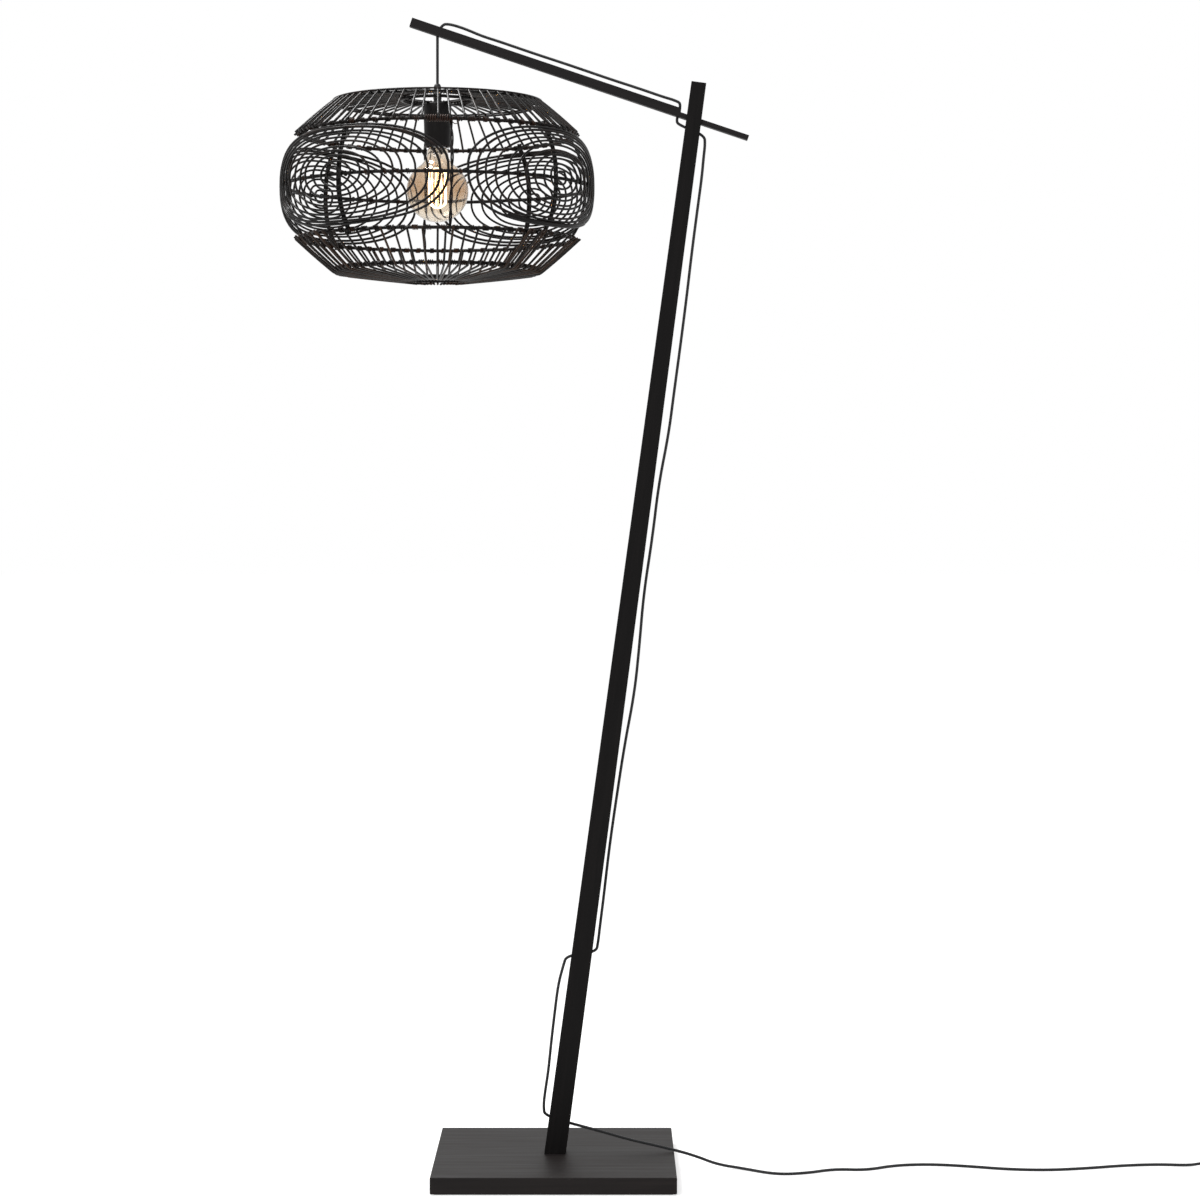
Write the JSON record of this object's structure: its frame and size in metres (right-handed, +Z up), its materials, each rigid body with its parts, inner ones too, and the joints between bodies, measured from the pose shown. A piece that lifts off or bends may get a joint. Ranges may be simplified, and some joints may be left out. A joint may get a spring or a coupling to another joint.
{
  "type": "floor lamp",
  "caption": "Floor lamp: leaning tapered pole on a square base, slim arm, and a round open cage shade of dark rods hanging on its cord round a globe bulb.",
  "frame": {"origin": "floor under the middle of the pole's foot, in the middle of the base", "axes": "+Z up, +X to the side the pole leans to, -X to the side the shade hangs on, -Y to the front"},
  "size_m": [1.6318, 0.4808, 1.7596],
  "materials": {
    "base_wood": "satin, black-brown stain",
    "stained_wood": "satin, black-brown stain",
    "rattan_black": "satin, black-stained cane rods",
    "felt": "matt",
    "plated_steel": "bright plate",
    "black_steel": "black enamel",
    "holder_enamel": "semi-matt black",
    "core_insulator": "matt white",
    "brass_leaf": "bright",
    "tip_contact": "black insulator with a metal tip",
    "cord_textile": "dark grey braid",
    "black_plastic": "matt black",
    "soft_relief": "matt black",
    "amber_glass": "clear, lightly tinted",
    "clear_glass": "clear",
    "filament": "warm glow"
  },
  "bodies": {
    "stand": {"base_felt": "felt", "base_plate": "base_wood", "base_bolt": "plated_steel", "base_washer": "plated_steel", "pole_sleeve": "plated_steel", "pole": "stained_wood", "arm": "stained_wood", "threaded_cord": "cord_textile", "mains_cord": "cord_textile", "switch_cord": "cord_textile", "cord_coil": "cord_textile", "plug_cord": "cord_textile", "switch_base": "black_plastic", "switch_cover": "black_plastic", "switch_unit": "black_plastic", "switch_inlet_relief": "soft_relief", "switch_outlet_relief": "soft_relief", "plug_body": "black_plastic", "plug_pins": "plated_steel", "plug_relief": "soft_relief"},
    "cord_bend": {"cord_bend": "cord_textile"},
    "drop_cord": {"drop_cord": "cord_textile"},
    "pendant": {"cord_grip": "black_plastic", "nipple": "plated_steel", "lock_nut": "plated_steel", "cage_carrier": "black_steel", "holder_cap": "holder_enamel", "holder_skirt": "holder_enamel", "holder_core": "core_insulator", "screw_shell": "plated_steel", "centre_contact": "brass_leaf", "lead_wires": "black_plastic", "upper_ribs": "rattan_black", "lower_ribs": "rattan_black", "top_ring": "rattan_black", "top_rim_hoop": "rattan_black", "upper_shoulder_hoop": "rattan_black", "waist_hoop": "rattan_black", "lower_shoulder_hoop": "rattan_black", "bottom_rim_hoop": "rattan_black", "bottom_ring": "rattan_black", "eye_front_left": "rattan_black", "eye_front_right": "rattan_black", "eye_back_right": "rattan_black", "eye_back_left": "rattan_black", "eye_posts": "rattan_black", "side_bars": "rattan_black"},
    "bulb_tip": {"bulb_tip": "tip_contact"},
    "bulb": {"bulb_glass": "amber_glass", "bulb_cap": "plated_steel", "bulb_stem": "clear_glass", "bulb_filaments": "filament"},
    "switch_button": {"switch_button": "black_plastic"}
  },
  "joints": [
    {"name": "side_swing", "type": "hinge", "parent": "stand", "child": "cord_bend", "pos_m": [-0.18, 0, 1.7314], "axis": [0, 1, 0], "range_deg": [-8, 20]},
    {"name": "front_swing", "type": "hinge", "parent": "cord_bend", "child": "drop_cord", "pos_m": [-0.18, 0, 1.7314], "axis": [1, 0, 0], "range_deg": [-15, 15]},
    {"name": "cord_twist", "type": "hinge", "parent": "drop_cord", "child": "pendant", "pos_m": [-0.18, 0, 1.659], "axis": [0, 0, 1], "range_deg": [-90, 90]},
    {"name": "bulb_sink", "type": "slide", "parent": "pendant", "child": "bulb_tip", "axis": [0, 0, -1], "range_m": [0, 0.0165]},
    {"name": "bulb_turn", "type": "hinge", "parent": "bulb_tip", "child": "bulb", "pos_m": [-0.18, 0, 1.583], "axis": [0, 0, -1], "range_deg": [0, 1620]},
    {"name": "foot_button", "type": "slide", "parent": "stand", "child": "switch_button", "axis": [0, 0, -1], "range_m": [0, 0.0025], "stiffness_N_per_m": 1200}
  ],
  "couplings": [
    {"joint": "bulb_sink", "follows": "bulb_turn", "m_per_rad": 0.0005776}
  ]
}
